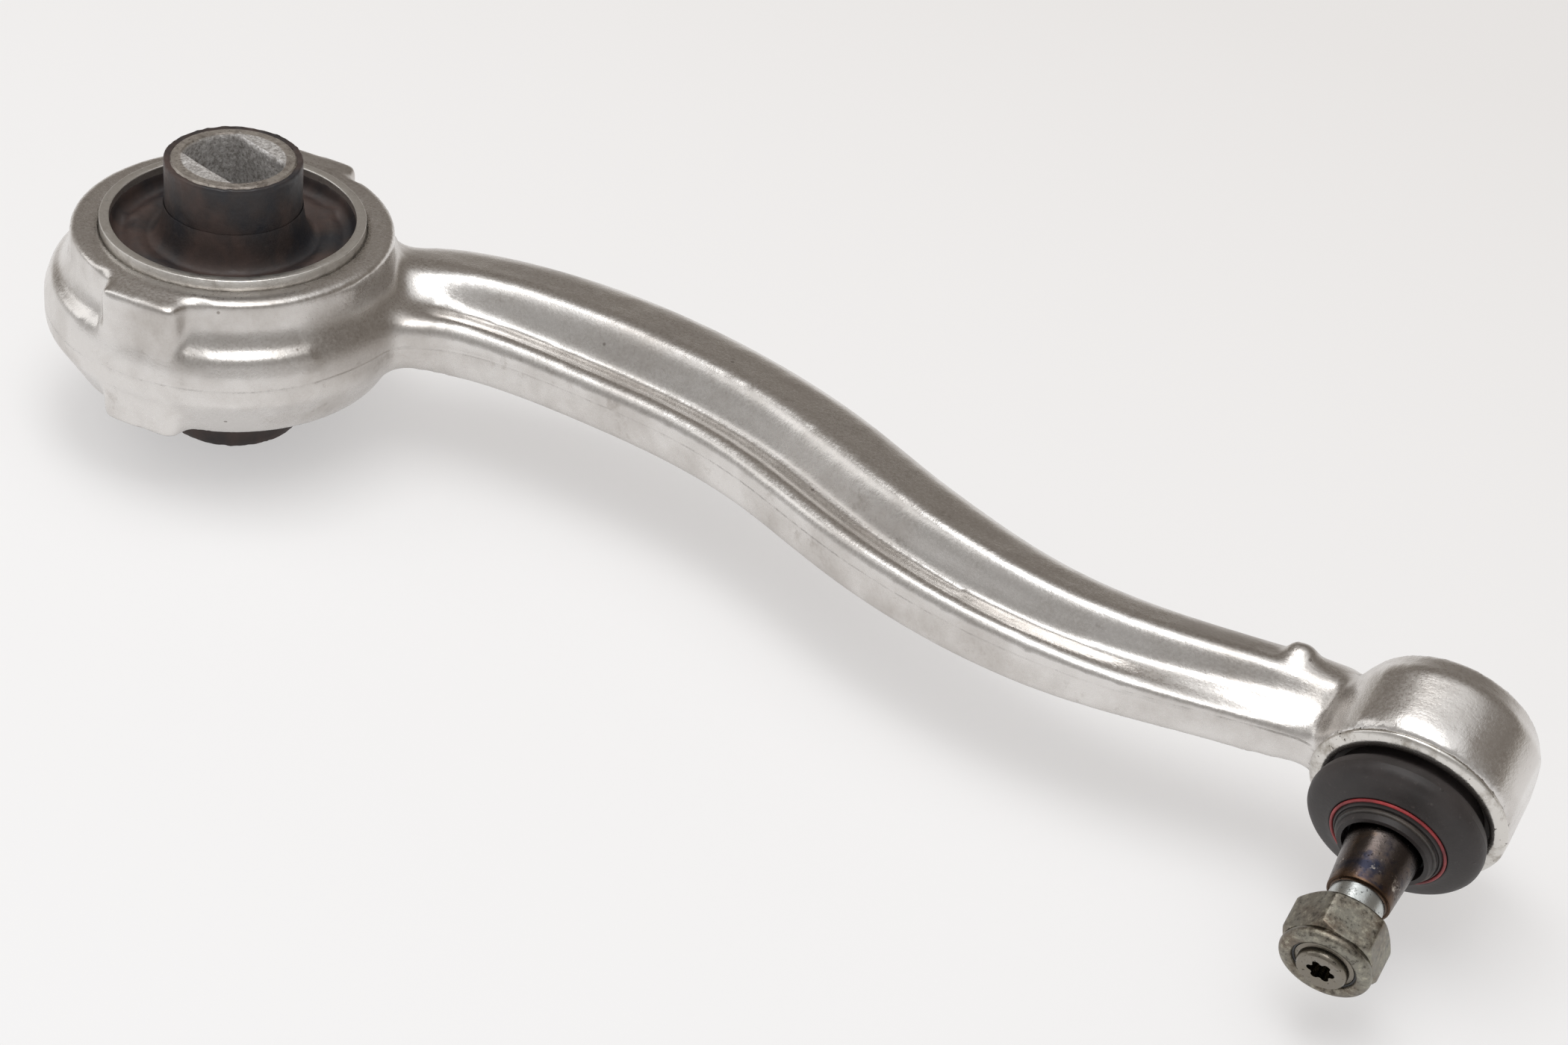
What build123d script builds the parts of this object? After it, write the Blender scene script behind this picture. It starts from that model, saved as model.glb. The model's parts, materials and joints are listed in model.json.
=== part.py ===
from build123d import *
from math import cos, radians, sin
import os

# Forged aluminium control arm with a fluid-filled rubber bush at one end and a ball joint at the other.
# Frame: origin at the bush centre, +Z along the bush axis, +X to the ball centre. Millimetres and degrees.
os.makedirs("parts", exist_ok=True)

# Driving dimensions
centre_distance = 342.5  # bush axis to ball centre
joint_tilt = 17.0  # the stud leans this far down from the arm's plane

# Bush
sleeve_half_length = 39.7
sleeve_radius = 16.6
coat_radius = 18.3
slot_round_radius = 13.5
slot_flat_gap = 17.4
slot_turn = -14.0
ring_inner_radius = 32.5
ring_outer_radius = 35.5
ring_half_length = 22.6
cage_inner_radius = 29.0
cage_outer_radius = 30.5
cage_half_length = 16.5
shell_half_length = 12.5
window_half_angle = 50.0
bonded_gap = 0.05  # running clearance between pieces that turn on each other

# Eye of the arm
eye_band_radius = 50.0
eye_boss_radius = 43.2
eye_height = 20.2
pad_reach = 47.8
pad_width = 23.0
pad_turn = -84.0
pad_corner = 3.2

# Ball joint, along the stud from the ball centre
ball_radius = 12.0
housing_radius = 24.8
housing_flat = 23.4  # the end facet, out from the stud's axis
housing_back = -18.0
housing_mouth = 11.6
shell_bore_radius = 15.5
ring_bore_radius = 22.5
ring_seat = 6.9
taper_start = 24.0
taper_end = 41.5
taper_end_radius = 7.6
taper_slope = 1 / 12  # a taper of 1 in 6 on the diameter
neck_end_radius = 6.6
thread_radius = 7.0
point_radius = 6.1  # the plain end in front of the thread
stud_end = 63.3
nut_start = 48.6
nut_hex_end = 58.8
nut_end = 61.8
insert_start = nut_end - 3.05
insert_end = nut_end - 0.8
nut_across_flats = 21.0
nut_turn = 43.6
collar_radius = 10.9


def ring_profile(inner, outer, low, high):
    """The half section of a plain ring, in the sketch plane's radius and height."""
    with Locations(((inner + outer) / 2, (low + high) / 2)):
        Rectangle(outer - inner, high - low)


# The plane that holds the stud's axis: its x is the radius and its y runs along the stud from the ball centre.
ball_centre = Vector(centre_distance, 0, 0)
stud_direction = Vector(0, -cos(radians(joint_tilt)), -sin(radians(joint_tilt)))
stud_axis = Axis(ball_centre, stud_direction)
stud_side_plane = Plane(ball_centre, x_dir=(1, 0, 0), z_dir=Vector(1, 0, 0).cross(stud_direction))


def stud_cross_plane(along):
    """A plane square to the stud, at a distance along it from the ball centre."""
    return Plane(ball_centre + stud_direction * along, x_dir=(1, 0, 0), z_dir=stud_direction)


# Arm body: the shank is lofted through stations along its near edge. Each has the edge's place, the
# heading, the width, and the heights of the near rib, the pocket's floor, the far rib and the underside.
stations = [
    ((47, 2.4), 38, 39.0, 7.0, 6.4, 10.6, -11.0),
    ((59, 9.0), 17, 43.0, 6.2, 4.2, 11.2, -10.8),
    ((76, 12.6), 2, 44.5, 5.4, 2.4, 11.0, -10.8),
    ((102, 12.8), -2, 45.5, 4.8, 1.4, 10.8, -10.8),
    ((128, 11), -10, 43.5, 4.8, 1.2, 10.8, -10.8),
    ((156, 4.5), -21, 41.5, 4.8, 1.2, 10.8, -10.8),
    ((185, -7), -19.5, 40.0, 4.8, 1.2, 10.8, -10.8),
    ((213, -15.2), -12.5, 37.5, 4.5, 1.6, 10.6, -10.8),
    ((240, -19), -3, 34.0, 4.0, 2.4, 10.4, -10.4),
    ((265, -18.3), 5, 31.0, 3.2, 3.0, 10.2, -9.6),
    ((290, -13.8), 11, 28.5, 2.4, 3.8, 10.0, -9.0),
    ((322, -9.5), 6, 29.0, 2.4, 4.4, 10.0, -8.4),
]


def shank_section(width, near, pocket, far, under):
    """Points round the ribbed section, across from the near edge and up from the parting plane."""
    top = [
        (0.0, 0.0),
        (0.015, 0.72 * near),
        (0.075, near),
        (0.15, 0.8 * near + 0.2 * pocket),
        (0.225, 0.25 * near + 0.75 * pocket),
        (0.29, pocket),
        (0.355, 0.7 * pocket + 0.3 * far),
        (0.425, 0.2 * pocket + 0.8 * far),
        (0.49, far),
        (0.60, 0.98 * far),
        (0.76, 0.89 * far),
        (0.90, 0.72 * far),
        (0.97, 0.45 * far),
        (1.0, 0.0),
    ]
    bottom = [
        (0.96, 0.62 * under),
        (0.84, under),
        (0.68, 0.94 * under),
        (0.52, 0.70 * under),
        (0.34, 0.66 * under),
        (0.18, 0.92 * under),
        (0.08, under),
        (0.02, 0.72 * under),
    ]
    return [(share * width, height) for share, height in top + bottom]


with BuildPart() as arm_body:
    for (edge_x, edge_y), heading, *section in stations:
        along = (cos(radians(heading)), sin(radians(heading)), 0)
        across = (-sin(radians(heading)), cos(radians(heading)), 0)
        with BuildSketch(Plane((edge_x, edge_y, 0), x_dir=across, z_dir=along)):
            with BuildLine():
                Spline(*shank_section(*section), periodic=True)
            make_face()
    loft()
    # The eye: a boss above the flange band and a cone below it.
    with BuildSketch(Plane.XZ) as eye_profile:
        with BuildLine():
            Polyline(
                (30, -eye_height),
                (41.5, -eye_height),
                (eye_band_radius, -6.4),
                (eye_band_radius, 1.2),
                (48.2, 6.4),
                (45.6, 7.8),
                (eye_boss_radius, 12.0),
                (eye_boss_radius - 0.4, eye_height),
                (30, eye_height),
                close=True,
            )
        make_face()
        fillet(eye_profile.vertices().filter_by(lambda corner: corner.X > 31), 1.4)
    revolve(axis=Axis.Z)
    # Two clamping pads stand out on opposite sides of the eye.
    pad_thickness = pad_reach - cage_outer_radius
    with BuildSketch(Plane.XY.offset(-eye_height + 0.5)):
        with PolarLocations(pad_reach - pad_thickness / 2, 2, start_angle=pad_turn):
            RectangleRounded(pad_thickness, pad_width, pad_corner)
    extrude(amount=2 * eye_height - 1.0)
    # The ball joint's housing, closed and rounded at its back.
    with BuildSketch(stud_side_plane) as housing_profile:
        with BuildLine():
            Polyline(
                (0, housing_back),
                (15, housing_back),
                (21.5, housing_back + 3.5),
                (housing_radius, housing_back + 10.5),
                (housing_radius, 7.5),
                (24.1, housing_mouth),
                (0, housing_mouth),
                close=True,
            )
        make_face()
        fillet(housing_profile.vertices().filter_by(lambda corner: corner.X > 14), 1.2)
    revolve(axis=stud_axis)
    with Locations((centre_distance + housing_flat + 5, 0, 0)):
        Box(10, 60, 60, mode=Mode.SUBTRACT)
    # A small round nub on the far rib, beside the housing.
    with Locations((306, 8.6, 8.0)):
        Sphere(5.0)
    # Bores for the bush, the bearing shell and the closing ring.
    Cylinder(ring_outer_radius, 4 * eye_height, mode=Mode.SUBTRACT)
    with BuildSketch(stud_side_plane):
        ring_profile(0, shell_bore_radius, -14.8, housing_mouth + 1)
        ring_profile(0, ring_bore_radius, ring_seat, housing_mouth + 1)
    revolve(axis=stud_axis, mode=Mode.SUBTRACT)
arm_body.part.label = "arm_body"

# Bush pieces, from the outside in
with BuildPart() as bush_outer_sleeve:
    with BuildSketch(Plane.XZ) as sleeve_profile:
        ring_profile(ring_inner_radius, ring_outer_radius, -ring_half_length, ring_half_length)
        chamfer(sleeve_profile.vertices(), 0.5)
    revolve(axis=Axis.Z)
bush_outer_sleeve.part.label = "bush_outer_sleeve"

with BuildPart() as window_cage:
    with BuildSketch(Plane.XZ):
        ring_profile(cage_inner_radius, cage_outer_radius, -cage_half_length, cage_half_length)
    revolve(axis=Axis.Z)
    # Two windows face along the arm.
    window_width = 2 * cage_outer_radius * sin(radians(window_half_angle))
    with PolarLocations(cage_inner_radius, 2):
        Box(24, window_width, 2 * 10.0, mode=Mode.SUBTRACT)
window_cage.part.label = "window_cage"

# The damping channel runs round the outside of two half shells.
channel_shells = []
for turn, side in ((0, "front"), (180, "rear")):
    with BuildPart() as channel_shell:
        with BuildSketch(Plane.XZ):
            ring_profile(cage_outer_radius, ring_inner_radius, -shell_half_length, shell_half_length)
        revolve(axis=Axis.Z)
        with BuildSketch(Plane.XZ):
            ring_profile(ring_inner_radius - 1.1, ring_inner_radius + 1, -1.8, 1.8)
        revolve(axis=Axis.Z, mode=Mode.SUBTRACT)
        split(bisect_by=Plane.YZ.offset(0.4))
    half = channel_shell.part.rotate(Axis.Z, turn)
    half.label = f"channel_shell_{side}"
    channel_shells.append(half)

chamber_half_length = 9.5
stop_half_angle = 15.0
stop_reach = 24.5
with BuildPart() as bush_rubber:
    inner = coat_radius + bonded_gap
    with BuildSketch(Plane.XZ) as rubber_profile:
        with BuildLine():
            upper = [
                (ring_inner_radius, 19.4),
                (30.8, 17.6),
                (28.6, 16.9),
                (24.6, 17.6),
                (22.4, 18.6),
                (20.2, 20.4),
                (19.0, 23.0),
                (inner, 27.0),
            ]
            Polyline(*upper, *[(r, -h) for r, h in reversed(upper)], close=True)
        make_face()
    revolve(axis=Axis.Z)
    # Room for the cage and for the shells outside it.
    with BuildSketch(Plane.XZ):
        ring_profile(cage_inner_radius, cage_outer_radius, -cage_half_length, cage_half_length)
        ring_profile(cage_outer_radius, ring_inner_radius, -shell_half_length, shell_half_length)
    revolve(axis=Axis.Z, mode=Mode.SUBTRACT)
    # Two fluid chambers, open to the cage's windows.
    for turn in (0, 180):
        with BuildSketch(Plane.XZ.rotated((0, 0, turn - window_half_angle + 8))):
            ring_profile(inner, cage_inner_radius, -chamber_half_length, chamber_half_length)
        revolve(axis=Axis.Z, revolution_arc=2 * (window_half_angle - 8), mode=Mode.SUBTRACT)
bush_rubber.part.label = "bush_rubber"

with BuildPart() as sleeve_coat:
    with BuildSketch(Plane.XZ):
        ring_profile(sleeve_radius, coat_radius, -sleeve_half_length + 0.6, sleeve_half_length - 0.6)
    revolve(axis=Axis.Z)
sleeve_coat.part.label = "sleeve_coat"

with BuildPart() as bush_inner_sleeve:
    Cylinder(sleeve_radius, 2 * sleeve_half_length)
    chamfer(bush_inner_sleeve.edges().filter_by(GeomType.CIRCLE), 0.4)
    # A round hole with two flats keeps the bolt's eccentric from turning.
    with BuildSketch(Plane.XY.offset(-sleeve_half_length)):
        Circle(slot_round_radius)
        Rectangle(3 * slot_round_radius, slot_flat_gap, rotation=slot_turn, mode=Mode.INTERSECT)
    extrude(amount=2 * sleeve_half_length, mode=Mode.SUBTRACT)
bush_inner_sleeve.part.label = "bush_inner_sleeve"

# A travel stop on each side of the sleeve meets the cage before the rubber is crushed.
travel_stops = []
for turn, side in ((0, "front"), (180, "rear")):
    with BuildPart() as travel_stop:
        with BuildSketch(Plane.XZ.rotated((0, 0, turn - stop_half_angle))):
            ring_profile(coat_radius, stop_reach, -8.0, 8.0)
        revolve(axis=Axis.Z, revolution_arc=2 * stop_half_angle)
    travel_stop.part.label = f"travel_stop_{side}"
    travel_stops.append(travel_stop.part)

# Ball joint pieces, from the ball outwards
taper_start_radius = taper_end_radius + (taper_end - taper_start) * taper_slope
with BuildPart() as ball_stud:
    with BuildSketch(stud_side_plane):
        with BuildLine():
            neck_radius = 7.6
            ball_back = -11.2
            neck_start = (ball_radius**2 - neck_radius**2) ** 0.5
            back_radius = (ball_radius**2 - ball_back**2) ** 0.5
            outline = Polyline(
                (neck_radius, neck_start),
                (neck_radius, 12.0),
                (taper_start_radius, 15.5),
                (taper_start_radius, taper_start),
                (taper_end_radius, taper_end - 0.5),
                (taper_end_radius - 0.5, taper_end),
                (neck_end_radius, taper_end),
                (neck_end_radius, nut_start - 1.6),
                (thread_radius, nut_start - 1.2),
                (thread_radius, stud_end - 2.4),
                (point_radius, stud_end - 2.1),
                (point_radius, stud_end - 0.8),
                (5.6, stud_end),
                (0, stud_end),
                (0, ball_back),
                (back_radius, ball_back),
            )
            ThreePointArc(outline @ 1, (ball_radius, 0), outline @ 0)
        make_face()
    revolve(axis=stud_axis)
    # Six-lobe recess that holds the stud while the nut is turned.
    with BuildSketch(stud_cross_plane(stud_end)):
        Circle(2.45)
        with PolarLocations(2.35, 6):
            Circle(0.95)
    extrude(amount=-5.0, mode=Mode.SUBTRACT)
ball_stud.part.label = "ball_stud"

ball_seat_radius = ball_radius + bonded_gap
with BuildPart() as bearing_shell:
    with BuildSketch(stud_side_plane):
        ring_profile(0, shell_bore_radius, -13.6, ring_seat)
    revolve(axis=stud_axis)
    with Locations(ball_centre):
        Sphere(ball_seat_radius, mode=Mode.SUBTRACT)
    # The mouth opens outwards so that the neck can swing.
    with BuildSketch(stud_side_plane):
        with BuildLine():
            Polyline((0, 4.0), (11.0, 4.8), (14.6, ring_seat), (14.6, 8.0), (0, 8.0), close=True)
        make_face()
    revolve(axis=stud_axis, mode=Mode.SUBTRACT)
bearing_shell.part.label = "bearing_shell"

with BuildPart() as preload_disc:
    with BuildSketch(stud_side_plane):
        with BuildLine():
            Polyline(
                (3.0, -14.7), (12.6, -14.1), (12.6, -13.6), (11.6, -13.6), (3.0, -14.15), close=True
            )
        make_face()
    revolve(axis=stud_axis)
preload_disc.part.label = "preload_disc"

with BuildPart() as closing_ring:
    with BuildSketch(stud_side_plane):
        with BuildLine():
            Polyline(
                (15.8, ring_seat),
                (ring_bore_radius, ring_seat),
                (ring_bore_radius, housing_mouth),
                (23.9, housing_mouth),
                (23.9, 12.3),
                (22.9, 13.3),
                (21.2, 13.8),
                (20.4, 13.7),
                (19.6, 13.0),
                (19.6, 9.2),
                (15.8, 9.2),
                close=True,
            )
        make_face()
    revolve(axis=stud_axis)
closing_ring.part.label = "closing_ring"

# The boot: a round bellows from the closing ring to the lip on the taper.
with BuildPart() as dust_boot:
    with BuildSketch(stud_side_plane):
        with BuildLine():
            outer_wall = Polyline((16.6, 9.3), (18.0, 9.3), (18.0, 12.2), (18.7, 14.4))
            belly = ThreePointArc(outer_wall @ 1, (21.3, 18.9), (18.3, 22.6))
            front = Polyline(belly @ 1, (14.2, 23.6), (12.7, 24.3), (11.1, 24.6))
            lip = Polyline(front @ 1, (11.1, 27.4), (9.9, 27.4), (9.9, 22.8), (13.2, 22.0), (17.0, 21.2))
            inner_belly = ThreePointArc(lip @ 1, (19.4, 18.6), (17.2, 15.0))
            Polyline(inner_belly @ 1, (16.6, 12.2), (16.6, 9.3))
        make_face()
    revolve(axis=stud_axis)
dust_boot.part.label = "dust_boot"

ring_pieces = {}
for name, inner, outer, low, high in (
    ("boot_large_clip", 18.0 + bonded_gap, 19.4, 9.9, 11.3),
    ("boot_small_clip", 11.1 + bonded_gap, 12.2, 24.9, 26.0),
    ("slip_ring", taper_start_radius, 9.85, 19.0, taper_start),
):
    with BuildPart() as ring_piece:
        with BuildSketch(stud_side_plane):
            ring_profile(inner, outer, low, high)
        revolve(axis=stud_axis)
    ring_piece.part.label = name
    ring_pieces[name] = ring_piece.part

# A thin red ring lies in the fold in front of the belly.
with BuildPart() as red_ring:
    with BuildSketch(stud_side_plane):
        with Locations((13.6, 24.32)):
            Circle(0.35)
    revolve(axis=stud_axis)
red_ring.part.label = "red_ring"

with BuildPart() as lock_nut:
    with BuildSketch(stud_cross_plane(nut_start)):
        RegularPolygon(nut_across_flats / 2, 6, major_radius=False, rotation=nut_turn)
    extrude(amount=nut_hex_end - nut_start)
    # Both ends of the hexagon are turned to a cone, and the collar stands on the outer one.
    with BuildSketch(stud_side_plane):
        with BuildLine():
            Polyline(
                (0, nut_start),
                (10.0, nut_start),
                (12.4, nut_start + 1.5),
                (12.4, nut_hex_end - 1.4),
                (10.6, nut_hex_end),
                (0, nut_hex_end),
                close=True,
            )
        make_face()
    revolve(axis=stud_axis, mode=Mode.INTERSECT)
    with BuildSketch(stud_side_plane):
        with BuildLine():
            Polyline(
                (0, nut_hex_end - 0.5),
                (10.4, nut_hex_end - 0.5),
                (collar_radius, nut_hex_end + 0.6),
                (collar_radius, nut_end - 1.3),
                (9.6, nut_end),
                (0, nut_end),
                close=True,
            )
        make_face()
    revolve(axis=stud_axis)
    with BuildSketch(stud_side_plane):
        ring_profile(0, thread_radius + bonded_gap, nut_start - 1, nut_end)
        ring_profile(0, thread_radius + 0.7, nut_start - 1, nut_start + 1)
        ring_profile(0, 8.7, insert_start - 0.05, insert_end + 0.1)
        ring_profile(0, 7.8, insert_end, nut_end + 1)
    revolve(axis=stud_axis, mode=Mode.SUBTRACT)
lock_nut.part.label = "lock_nut"

with BuildPart() as nut_insert:
    with BuildSketch(stud_side_plane):
        ring_profile(thread_radius + 0.03, 8.65, insert_start, insert_end)
    revolve(axis=stud_axis)
nut_insert.part.label = "nut_insert"

pieces = [
    arm_body.part,
    bush_outer_sleeve.part,
    window_cage.part,
    *channel_shells,
    bush_rubber.part,
    sleeve_coat.part,
    bush_inner_sleeve.part,
    *travel_stops,
    ball_stud.part,
    bearing_shell.part,
    preload_disc.part,
    closing_ring.part,
    dust_boot.part,
    *ring_pieces.values(),
    red_ring.part,
    lock_nut.part,
    nut_insert.part,
]
for piece in pieces:
    export_step(piece, f"parts/{piece.label}.step")
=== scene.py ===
import json
import math

import bmesh
import bpy
from mathutils import Matrix, Vector, noise


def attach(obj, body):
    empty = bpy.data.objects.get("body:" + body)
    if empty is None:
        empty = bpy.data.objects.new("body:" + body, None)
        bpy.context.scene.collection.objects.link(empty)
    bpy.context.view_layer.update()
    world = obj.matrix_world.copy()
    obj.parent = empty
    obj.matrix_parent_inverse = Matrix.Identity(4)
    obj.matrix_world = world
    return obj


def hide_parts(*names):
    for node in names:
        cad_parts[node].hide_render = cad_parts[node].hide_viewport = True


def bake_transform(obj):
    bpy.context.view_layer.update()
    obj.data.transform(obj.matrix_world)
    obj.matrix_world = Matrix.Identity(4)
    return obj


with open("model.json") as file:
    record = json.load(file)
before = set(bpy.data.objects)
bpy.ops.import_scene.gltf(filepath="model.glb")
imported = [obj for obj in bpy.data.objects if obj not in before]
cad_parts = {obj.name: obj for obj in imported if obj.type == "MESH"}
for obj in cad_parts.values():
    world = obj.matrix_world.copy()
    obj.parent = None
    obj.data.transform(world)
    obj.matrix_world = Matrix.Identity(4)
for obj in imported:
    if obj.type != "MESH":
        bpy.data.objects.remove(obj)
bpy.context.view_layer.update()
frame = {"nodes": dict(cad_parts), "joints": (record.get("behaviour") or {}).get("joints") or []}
print("frame loaded")

mm = 0.001
joints = {joint["name"]: joint for joint in frame["joints"]}
ballCentre = Vector(joints["stud_spin"]["pos_m"])
studDirection = Vector(joints["stud_spin"]["axis"]).normalized()


def studFrame():  # local Z runs along the stud from the ball centre, local X is the row's X
    along = studDirection
    across = Vector((1, 0, 0))
    turned = Matrix((across, along.cross(across), along)).transposed().to_4x4()
    return Matrix.Translation(ballCentre) @ turned


# Small helpers
def hexToLinear(text, alpha=1.0):
    values = [int(text[i : i + 2], 16) / 255 for i in (1, 3, 5)]
    return [v / 12.92 if v <= 0.04045 else ((v + 0.055) / 1.055) ** 2.4 for v in values] + [alpha]


def addNode(tree, kind, settings=None, links=None):
    node = tree.nodes.new(kind)
    for key, value in (settings or {}).items():
        if isinstance(key, str) and hasattr(node, key):
            setattr(node, key, value)
        else:
            node.inputs[key].default_value = value
    for key, source in (links or {}).items():
        tree.links.new(source, node.inputs[key])
    return node


def linkObject(name, mesh):
    piece = bpy.data.objects.new(name, mesh)
    bpy.context.scene.collection.objects.link(piece)
    return piece


def finishMesh(name, bm, place, sharpAngle=40):
    bm.transform(place)
    bm.normal_update()
    for face in bm.faces:
        face.smooth = True
    for edge in bm.edges:
        edge.smooth = not edge.is_manifold or edge.calc_face_angle(0) < math.radians(sharpAngle)
    mesh = bpy.data.meshes.new(name)
    bm.to_mesh(mesh)
    bm.free()
    return linkObject(name, mesh)


def spinProfile(points, steps=96, bevel=0.0, segments=3):
    # points are (radius, height) in millimetres round a closed outline, which may touch the axis
    bm = bmesh.new()
    verts = [bm.verts.new((r * mm, 0, h * mm)) for r, h in points]
    pairs = list(zip(verts, verts[1:] + verts[:1]))
    edges = [bm.edges.new(pair) for pair in pairs if max(abs(v.co.x) for v in pair) > 1e-9]
    bmesh.ops.spin(
        bm, geom=verts + edges, cent=(0, 0, 0), axis=(0, 0, 1), angle=math.tau, steps=steps, use_merge=True
    )
    bmesh.ops.remove_doubles(bm, verts=bm.verts, dist=1e-6)
    bmesh.ops.recalc_face_normals(bm, faces=bm.faces)
    if bevel:
        corners = [e for e in bm.edges if e.is_manifold and e.calc_face_angle(0) > math.radians(24)]
        bmesh.ops.bevel(
            bm, geom=corners, offset=bevel * mm, segments=segments, profile=0.5, affect="EDGES", material=-1
        )
    return bm


def reshape(bm, change):
    # change takes and gives a radius and a height in millimetres, at an angle in radians
    for vert in bm.verts:
        angle = math.atan2(vert.co.y, vert.co.x)
        r, h = change(math.hypot(vert.co.x, vert.co.y) / mm, angle, vert.co.z / mm)
        vert.co = (r * math.cos(angle) * mm, r * math.sin(angle) * mm, h * mm)
    return bm


def roundedOutline(points, parts=4):
    # a smooth curve through the points, as (radius, height)
    out = []
    for i in range(len(points) - 1):
        a, b, c, d = (Vector(points[min(max(i + k, 0), len(points) - 1)]) for k in (-1, 0, 1, 2))
        for step in range(parts):
            t = step / parts
            bend = 2 * b + (c - a) * t + (2 * a - 5 * b + 4 * c - d) * t**2 + (3 * b - a - 3 * c + d) * t**3
            out.append(tuple(bend / 2))
    return out + [tuple(points[-1])]


def wobble(angle, radius, size, seed=0.0):
    return noise.noise(Vector((math.cos(angle) * radius / size, math.sin(angle) * radius / size, seed)))


def showPiece(piece, material, body, slot, *nodes):
    piece.data.materials.clear()
    piece.data.materials.append(material)
    if body:
        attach(piece, body)
    if nodes:
        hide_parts(*nodes)
    return piece


# Material helpers
def newMaterial(name):
    material = bpy.data.materials.new(name)
    material.use_nodes = True
    tree = material.node_tree
    tree.nodes.clear()
    shader = addNode(tree, "ShaderNodeBsdfPrincipled")
    addNode(tree, "ShaderNodeOutputMaterial", None, {"Surface": shader.outputs[0]})
    place = addNode(tree, "ShaderNodeTexCoord").outputs["Object"]
    return material, tree, shader, place


def noiseAt(tree, place, size, detail=3.0, roughness=0.5, stretch=(1, 1, 1), turn=(0, 0, 0)):
    # size is the pattern's size in millimetres
    settings = {"Scale": stretch, "Rotation": [math.radians(a) for a in turn]}
    scaled = addNode(tree, "ShaderNodeMapping", settings, {"Vector": place})
    settings = {"Scale": 1000 / size, "Detail": detail, "Roughness": roughness}
    return addNode(tree, "ShaderNodeTexNoise", settings, {"Vector": scaled.outputs[0]}).outputs["Fac"]


def specksAt(tree, place, size, reach):
    # sparse round specks: one in each cell of the given size, with its edge at reach, from 1 inside to 0
    settings = {"Scale": 1000 / size, "Randomness": 1.0}
    cells = addNode(tree, "ShaderNodeTexVoronoi", settings, {"Vector": place})
    return mapped(tree, cells.outputs["Distance"], reach, reach * 0.6, 0, 1)


def mapped(tree, value, low, high, newLow=0.0, newHigh=1.0):
    settings = {"From Min": low, "From Max": high, "To Min": newLow, "To Max": newHigh, "clamp": True}
    return addNode(tree, "ShaderNodeMapRange", settings, {"Value": value}).outputs[0]


def combine(tree, operation, first, second):
    node = addNode(tree, "ShaderNodeMath", {"operation": operation})
    for socket, source in ((0, first), (1, second)):
        if isinstance(source, (int, float)):
            node.inputs[socket].default_value = source
        else:
            tree.links.new(source, node.inputs[socket])
    return node.outputs[0]


def axisOf(tree, place, axis):
    return addNode(tree, "ShaderNodeSeparateXYZ", None, {"Vector": place}).outputs[axis]


def ramp(tree, value, stops):
    node = addNode(tree, "ShaderNodeValToRGB", None, {"Fac": value})
    node.color_ramp.elements[0].position = stops[0][0]
    node.color_ramp.elements[0].color = stops[0][1]
    node.color_ramp.elements[1].position = stops[-1][0]
    node.color_ramp.elements[1].color = stops[-1][1]
    for position, color in stops[1:-1]:
        node.color_ramp.elements.new(position).color = color
    return node.outputs["Color"]


def mixColor(tree, factor, first, second, blend="MIX"):
    node = addNode(tree, "ShaderNodeMix", {"data_type": "RGBA", "blend_type": blend})
    for socket, source in ((0, factor), (6, first), (7, second)):
        if isinstance(source, str):
            source = hexToLinear(source)
        if isinstance(source, (int, float, list)):
            node.inputs[socket].default_value = source
        else:
            tree.links.new(source, node.inputs[socket])
    return node.outputs[2]


def bumpFrom(tree, height, strength, distance, previous=None):
    links = {"Height": height}
    if previous is not None:
        links["Normal"] = previous
    node = addNode(tree, "ShaderNodeBump", {"Strength": strength, "Distance": distance * mm}, links)
    return node.outputs[0]


def finishShader(tree, shader, color, roughness, normal, metallic=0.0):
    for name, source in (("Base Color", color), ("Roughness", roughness), ("Normal", normal)):
        tree.links.new(source, shader.inputs[name])
    shader.inputs["Metallic"].default_value = metallic


def alongStud(tree, place):
    # the distance along the stud from the ball centre, in metres
    settings = {"operation": "DOT_PRODUCT", 1: studDirection}
    reach = addNode(tree, "ShaderNodeVectorMath", settings, {0: place}).outputs["Value"]
    return combine(tree, "SUBTRACT", reach, ballCentre.dot(studDirection))


forging = {
    "metal": "#DDDAD7",
    "cloud": "#A7A099",
    "stain": "#8E857C",
    "roughness": (0.20, 0.34),
    "grain": 0.8,  # blast grain in mm
    "cloudSize": 34.0,
    "flash": 0.55,  # half the flash line's width in mm
}


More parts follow.
